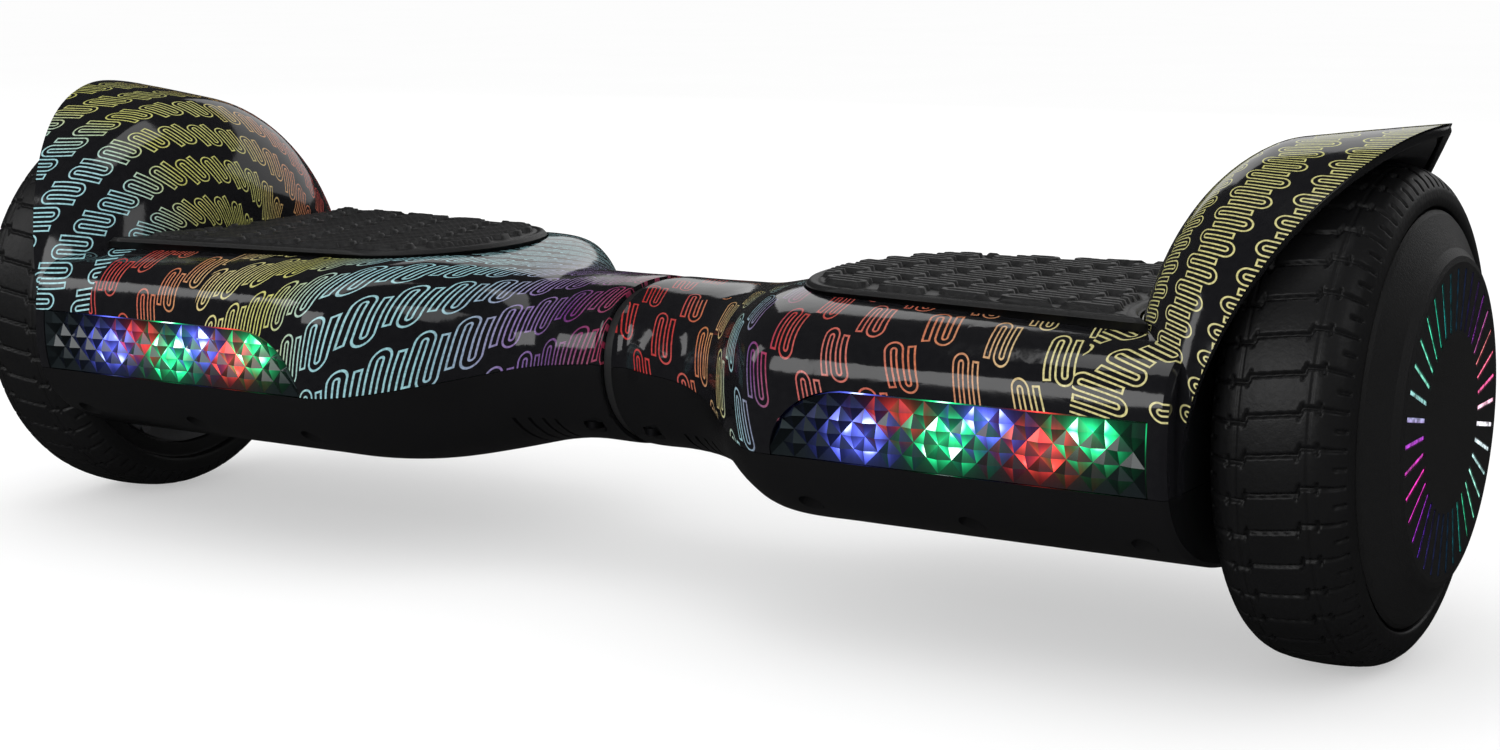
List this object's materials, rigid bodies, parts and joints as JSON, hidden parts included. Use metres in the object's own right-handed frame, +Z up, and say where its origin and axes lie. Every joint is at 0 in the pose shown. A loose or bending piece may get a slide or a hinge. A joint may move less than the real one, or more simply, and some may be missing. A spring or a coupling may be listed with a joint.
{
  "type": "self balancing hoverboard",
  "caption": "Two-wheeled self balancing board: two foot platforms hinged at a waist, with hub-motor wheels under fenders, light bars and foot mats.",
  "frame": {"origin": "on the ground under the middle of the centre pivot", "axes": "+X along the axles towards the right half, -Y the front with the light bars, +Z up"},
  "size_m": [0.584, 0.1845, 0.1716],
  "materials": {
    "printed_gloss_shell": "high gloss black with a printed rainbow line pattern",
    "black_satin_shell": "satin black moulded plastic",
    "clear_lens": "clear faceted moulding, lit from behind",
    "black_screw": "black zinc",
    "circuit_board": "green solder mask with white and black devices",
    "cast_aluminium": "as cast, satin",
    "zinc_steel": "bright zinc",
    "axle_steel": "ground steel",
    "electrical_steel": "laminated",
    "copper_winding": "enamelled copper",
    "cable_jacket": "matte jacket",
    "tyre_rubber": "moulded tread",
    "magnet": "nickel plated",
    "bearing_steel": "polished",
    "black_grained_plastic": "fine moulded grain",
    "light_guide": "frosted, lit from behind",
    "mat_rubber": "matte with raised tread",
    "bush_bronze": "sintered bronze",
    "battery_wrap": "shrink wrapped cells, dense for their size",
    "button_cap": "grey satin"
  },
  "bodies": {
    "left_half": {"left_upper_shell": "printed_gloss_shell", "left_lower_shell": "black_satin_shell", "left_light_lens": "clear_lens", "left_shell_screws": "black_screw", "left_light_board": "circuit_board", "left_gyro_board": "circuit_board", "left_axle_clamp": "cast_aluminium", "left_clamp_screws": "zinc_steel", "left_axle": "axle_steel", "left_motor_stator": "electrical_steel", "left_motor_windings": "copper_winding", "left_motor_cable": "cable_jacket", "left_frame": "cast_aluminium", "pivot_shaft": "axle_steel", "snap_rings": "zinc_steel", "stop_pins": "zinc_steel", "neck_seal": "mat_rubber", "wiring_loom": "cable_jacket", "controller_board": "circuit_board"},
    "right_half": {"right_upper_shell": "printed_gloss_shell", "right_lower_shell": "black_satin_shell", "right_light_lens": "clear_lens", "right_shell_screws": "black_screw", "right_light_board": "circuit_board", "right_gyro_board": "circuit_board", "right_axle_clamp": "cast_aluminium", "right_clamp_screws": "zinc_steel", "right_axle": "axle_steel", "right_motor_stator": "electrical_steel", "right_motor_windings": "copper_winding", "right_motor_cable": "cable_jacket", "right_frame": "cast_aluminium", "pivot_bushes": "bush_bronze", "battery_pack": "battery_wrap", "button_housing": "black_satin_shell", "charge_port": "black_satin_shell"},
    "left_wheel": {"left_tyre": "tyre_rubber", "left_motor_drum": "cast_aluminium", "left_motor_magnets": "magnet", "left_motor_covers": "cast_aluminium", "left_motor_bearings": "bearing_steel", "left_cover_screws": "zinc_steel", "left_hub_cover": "black_grained_plastic", "left_hub_light_guide": "light_guide", "left_hub_light_board": "circuit_board"},
    "left_foot_pad": {"left_foot_mat": "mat_rubber", "left_pad_plate": "black_satin_shell"},
    "right_wheel": {"right_tyre": "tyre_rubber", "right_motor_drum": "cast_aluminium", "right_motor_magnets": "magnet", "right_motor_covers": "cast_aluminium", "right_motor_bearings": "bearing_steel", "right_cover_screws": "zinc_steel", "right_hub_cover": "black_grained_plastic", "right_hub_light_guide": "light_guide", "right_hub_light_board": "circuit_board"},
    "right_foot_pad": {"right_foot_mat": "mat_rubber", "right_pad_plate": "black_satin_shell"},
    "power_button": {"power_button": "button_cap"},
    "charge_cap": {"charge_cap": "mat_rubber"}
  },
  "joints": [
    {"name": "centre_pivot", "type": "hinge", "parent": "left_half", "child": "right_half", "pos_m": [0, 0, 0.0765], "axis": [1, 0, 0], "range_deg": [-10, 10]},
    {"name": "left_wheel_spin", "type": "hinge", "parent": "left_half", "child": "left_wheel", "pos_m": [-0.262, 0, 0.0795], "axis": [1, 0, 0], "continuous": true},
    {"name": "left_pad_press", "type": "slide", "parent": "left_half", "child": "left_foot_pad", "axis": [0, 0, -1], "range_m": [0, 0.0015], "stiffness_N_per_m": 60000, "springref_m": -0.0002},
    {"name": "right_wheel_spin", "type": "hinge", "parent": "right_half", "child": "right_wheel", "pos_m": [0.262, 0, 0.0795], "axis": [1, 0, 0], "continuous": true},
    {"name": "right_pad_press", "type": "slide", "parent": "right_half", "child": "right_foot_pad", "axis": [0, 0, -1], "range_m": [0, 0.0015], "stiffness_N_per_m": 60000, "springref_m": -0.0002},
    {"name": "power_button_press", "type": "slide", "parent": "right_half", "child": "power_button", "axis": [0, -1, 0], "range_m": [0, 0.0015], "stiffness_N_per_m": 1500, "springref_m": -0.0005},
    {"name": "charge_cap_hinge", "type": "hinge", "parent": "right_half", "child": "charge_cap", "pos_m": [0.181, 0.0916, 0.08685], "axis": [1, 0, 0], "range_deg": [0, 100]}
  ]
}
